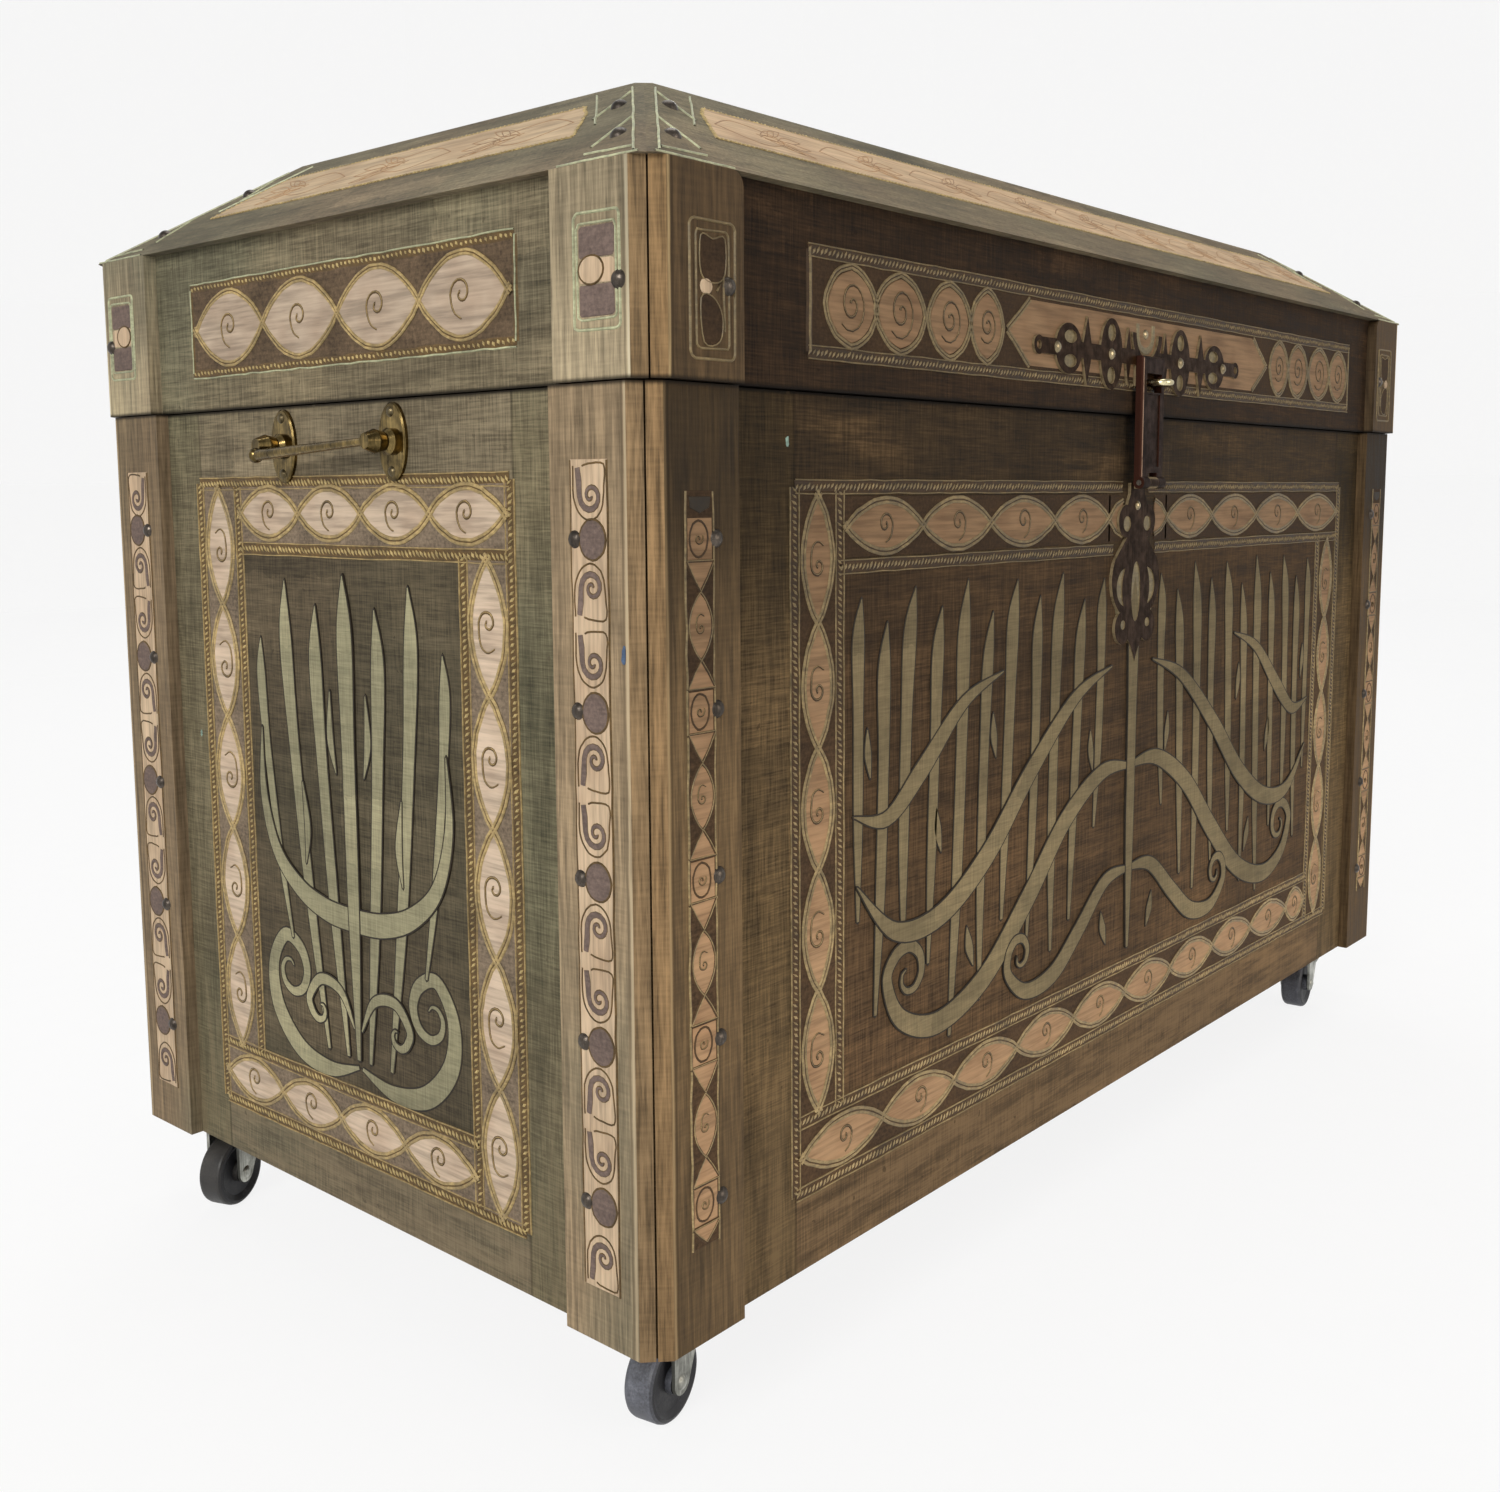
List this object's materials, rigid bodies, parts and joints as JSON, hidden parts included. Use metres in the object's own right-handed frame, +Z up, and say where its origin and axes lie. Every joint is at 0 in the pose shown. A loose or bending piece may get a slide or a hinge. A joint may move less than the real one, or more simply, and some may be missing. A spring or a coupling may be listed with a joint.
{
  "type": "dowry chest",
  "caption": "Painted wooden chest with a hinged hipped lid, a hasp and staple, end handles and swivel casters.",
  "frame": {"origin": "under the middle of the bounding box, on the floor", "axes": "+X along the front to the chest's right end as seen from the front, +Y from the front to the back, +Z up"},
  "size_m": [1.1156, 0.5758, 0.7693],
  "materials": {
    "painted_board": "aged matt paint",
    "painted_plank": "aged matt paint",
    "carved_roof": "pale washed wood",
    "iron_stud": "dark worn",
    "aged_brass": "aged",
    "bronzed_iron": "dark bronzed",
    "dull_steel": "dull",
    "zinc_plate": "zinc",
    "caster_wheel": "matt"
  },
  "bodies": {
    "chest": {"front_board": "painted_board", "back_board": "painted_board", "left_end_board": "painted_board", "right_end_board": "painted_board", "bottom_board": "painted_board", "front_left_plank": "painted_plank", "front_right_plank": "painted_plank", "left_front_plank": "painted_plank", "left_back_plank": "painted_plank", "right_front_plank": "painted_plank", "right_back_plank": "painted_plank", "back_left_plank": "painted_plank", "back_right_plank": "painted_plank", "body_studs": "iron_stud", "handle_plates": "aged_brass", "left_handle_bar": "aged_brass", "right_handle_bar": "aged_brass", "hasp_base_plate": "bronzed_iron", "hasp_base_nail": "bronzed_iron", "hinge_body_leaves": "dull_steel", "hinge_pins": "dull_steel", "body_screws": "dull_steel", "caster_plates": "zinc_plate", "caster_kingpins": "zinc_plate"},
    "lid": {"lid_front_board": "painted_board", "lid_back_board": "painted_board", "lid_left_board": "painted_board", "lid_right_board": "painted_board", "lid_front_slope": "carved_roof", "lid_back_slope": "carved_roof", "lid_left_slope": "carved_roof", "lid_right_slope": "carved_roof", "lid_top_panel": "carved_roof", "lid_front_left_plank": "painted_plank", "lid_front_right_plank": "painted_plank", "lid_left_front_plank": "painted_plank", "lid_left_back_plank": "painted_plank", "lid_right_front_plank": "painted_plank", "lid_right_back_plank": "painted_plank", "lid_back_left_plank": "painted_plank", "lid_back_right_plank": "painted_plank", "lid_studs": "iron_stud", "lid_hasp_plate": "bronzed_iron", "lid_plate_nails": "bronzed_iron", "lid_staple": "aged_brass", "hinge_lid_leaves": "dull_steel", "lid_screws": "dull_steel"},
    "hasp": {"hasp_strap": "bronzed_iron"},
    "front_left_fork": {"front_left_caster_fork": "zinc_plate", "front_left_caster_axle": "zinc_plate"},
    "front_left_wheel": {"front_left_caster_wheel": "caster_wheel"},
    "front_right_fork": {"front_right_caster_fork": "zinc_plate", "front_right_caster_axle": "zinc_plate"},
    "front_right_wheel": {"front_right_caster_wheel": "caster_wheel"},
    "back_left_fork": {"back_left_caster_fork": "zinc_plate", "back_left_caster_axle": "zinc_plate"},
    "back_left_wheel": {"back_left_caster_wheel": "caster_wheel"},
    "back_right_fork": {"back_right_caster_fork": "zinc_plate", "back_right_caster_axle": "zinc_plate"},
    "back_right_wheel": {"back_right_caster_wheel": "caster_wheel"}
  },
  "joints": [
    {"name": "lid_hinge", "type": "hinge", "parent": "chest", "child": "lid", "pos_m": [0, 0.2812, 0.5914], "axis": [-1, 0, 0], "range_deg": [0, 100]},
    {"name": "hasp_hinge", "type": "hinge", "parent": "chest", "child": "hasp", "pos_m": [0, -0.2711, 0.541], "axis": [1, 0, 0], "range_deg": [0, 175]},
    {"name": "front_left_swivel", "type": "hinge", "parent": "chest", "child": "front_left_fork", "pos_m": [-0.47322, -0.2176, 0.0597], "axis": [0, 0, 1], "continuous": true},
    {"name": "front_left_roll", "type": "hinge", "parent": "front_left_fork", "child": "front_left_wheel", "pos_m": [-0.48895, -0.22054, 0.0254], "axis": [0.184, -0.9829, 0], "continuous": true},
    {"name": "front_right_swivel", "type": "hinge", "parent": "chest", "child": "front_right_fork", "pos_m": [0.4815, -0.2176, 0.0597], "axis": [0, 0, 1], "continuous": true},
    {"name": "front_right_roll", "type": "hinge", "parent": "front_right_fork", "child": "front_right_wheel", "pos_m": [0.4656, -0.21941, 0.0254], "axis": [0.1132, -0.9936, 0], "continuous": true},
    {"name": "back_left_swivel", "type": "hinge", "parent": "chest", "child": "back_left_fork", "pos_m": [-0.48702, 0.2294, 0.0597], "axis": [0, 0, 1], "continuous": true},
    {"name": "back_left_roll", "type": "hinge", "parent": "back_left_fork", "child": "back_left_wheel", "pos_m": [-0.50196, 0.22367, 0.0254], "axis": [0.3584, -0.9336, 0], "continuous": true},
    {"name": "back_right_swivel", "type": "hinge", "parent": "chest", "child": "back_right_fork", "pos_m": [0.4815, 0.2294, 0.0597], "axis": [0, 0, 1], "continuous": true},
    {"name": "back_right_roll", "type": "hinge", "parent": "back_right_fork", "child": "back_right_wheel", "pos_m": [0.46597, 0.22553, 0.0254], "axis": [0.2419, -0.9703, 0], "continuous": true}
  ]
}
